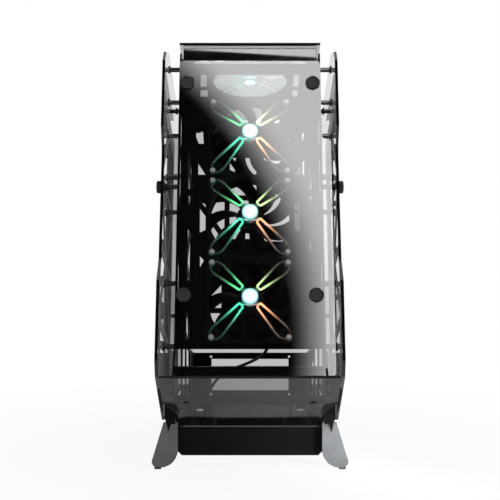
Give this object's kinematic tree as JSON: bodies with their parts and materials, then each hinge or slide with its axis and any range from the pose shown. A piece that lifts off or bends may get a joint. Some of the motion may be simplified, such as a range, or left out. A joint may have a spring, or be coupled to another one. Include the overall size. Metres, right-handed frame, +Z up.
{
  "type": "computer case",
  "caption": "Open-frame tower computer case with a leaning fan core, smoked glass panels on standoffs, lit loop-arm fans and blade feet.",
  "frame": {"origin": "centre of the part's box, on the floor under the feet", "axes": "+Z up, +Y to the rear, +X to the right as seen from the front"},
  "size_m": [0.2694, 0.552, 0.6076],
  "materials": {
    "black_coated_steel": "satin black powder coat",
    "bright_steel": "plated steel",
    "smoked_glass": "smoked tempered glass",
    "satin_aluminium": "bead-blasted aluminium",
    "black_rubber": "black rubber",
    "black_anodised": "black anodised",
    "brass": "turned brass",
    "circuit_board": "circuit board",
    "black_plastic": "moulded black plastic",
    "lit_arm_plastic": "clear plastic lit from the hub",
    "lit_lens_plastic": "lit opal plastic"
  },
  "bodies": {
    "case": {"audio_socket": "black_plastic", "bottom_tray": "black_coated_steel", "cover_rail": "black_coated_steel", "cover_screws": "bright_steel", "cross_bar": "black_coated_steel", "drive_plate": "black_coated_steel", "fan_cable_front": "black_rubber", "fan_cable_side": "black_rubber", "fan_exhaust_frame": "black_plastic", "fan_exhaust_hub_lens": "lit_lens_plastic", "fan_exhaust_light_arms": "lit_arm_plastic", "fan_lower_frame": "black_plastic", "fan_lower_hub_lens": "lit_lens_plastic", "fan_lower_light_arms": "lit_arm_plastic", "fan_middle_frame": "black_plastic", "fan_middle_hub_lens": "lit_lens_plastic", "fan_middle_light_arms": "lit_arm_plastic", "fan_plate": "black_coated_steel", "fan_screws": "bright_steel", "fan_top_frame": "black_plastic", "fan_top_hub_lens": "lit_lens_plastic", "fan_top_light_arms": "lit_arm_plastic", "foot_brackets": "black_coated_steel", "foot_pads": "black_rubber", "front_glass": "smoked_glass", "front_knobs": "black_anodised", "front_left_foot": "satin_aluminium", "front_posts": "black_anodised", "front_right_foot": "satin_aluminium", "io_board": "circuit_board", "io_box": "black_plastic", "left_side_glass": "smoked_glass", "left_side_knobs": "black_anodised", "left_side_rods": "bright_steel", "left_truss_plate": "black_coated_steel", "lower_cover": "smoked_glass", "motherboard_standoffs": "brass", "motherboard_tray": "black_coated_steel", "psu_plate": "black_coated_steel", "psu_shelf": "black_coated_steel", "rear_left_foot": "satin_aluminium", "rear_panel": "black_coated_steel", "rear_right_foot": "satin_aluminium", "right_side_glass": "smoked_glass", "right_side_knobs": "black_anodised", "right_side_rods": "bright_steel", "right_truss_plate": "black_coated_steel", "roof_glass": "smoked_glass", "roof_posts": "black_anodised", "roof_screws": "bright_steel", "slot_covers": "black_coated_steel", "top_plate": "black_coated_steel", "usb_sockets": "bright_steel"},
    "top_rotor": {"fan_top_rotor": "black_plastic"},
    "middle_rotor": {"fan_middle_rotor": "black_plastic"},
    "lower_rotor": {"fan_lower_rotor": "black_plastic"},
    "exhaust_rotor": {"fan_exhaust_rotor": "black_plastic"},
    "power_button": {"power_button": "black_plastic"},
    "reset_button": {"reset_button": "black_plastic"}
  },
  "joints": [
    {"name": "top_fan_spin", "type": "hinge", "parent": "case", "child": "top_rotor", "pos_m": [0, -0.10622, 0.46171], "axis": [0, 0.9563, -0.2924], "continuous": true},
    {"name": "middle_fan_spin", "type": "hinge", "parent": "case", "child": "middle_rotor", "pos_m": [0, -0.14131, 0.34695], "axis": [0, 0.9563, -0.2924], "continuous": true},
    {"name": "lower_fan_spin", "type": "hinge", "parent": "case", "child": "lower_rotor", "pos_m": [0, -0.17639, 0.2322], "axis": [0, 0.9563, -0.2924], "continuous": true},
    {"name": "exhaust_fan_spin", "type": "hinge", "parent": "case", "child": "exhaust_rotor", "pos_m": [0, 0.0097, 0.55698], "axis": [0, 0.2924, 0.9563], "continuous": true},
    {"name": "power_press", "type": "slide", "parent": "case", "child": "power_button", "axis": [0, -0.2924, -0.9563], "range_m": [0, 0.002], "stiffness_N_per_m": 500},
    {"name": "reset_press", "type": "slide", "parent": "case", "child": "reset_button", "axis": [0, -0.2924, -0.9563], "range_m": [0, 0.002], "stiffness_N_per_m": 500}
  ]
}
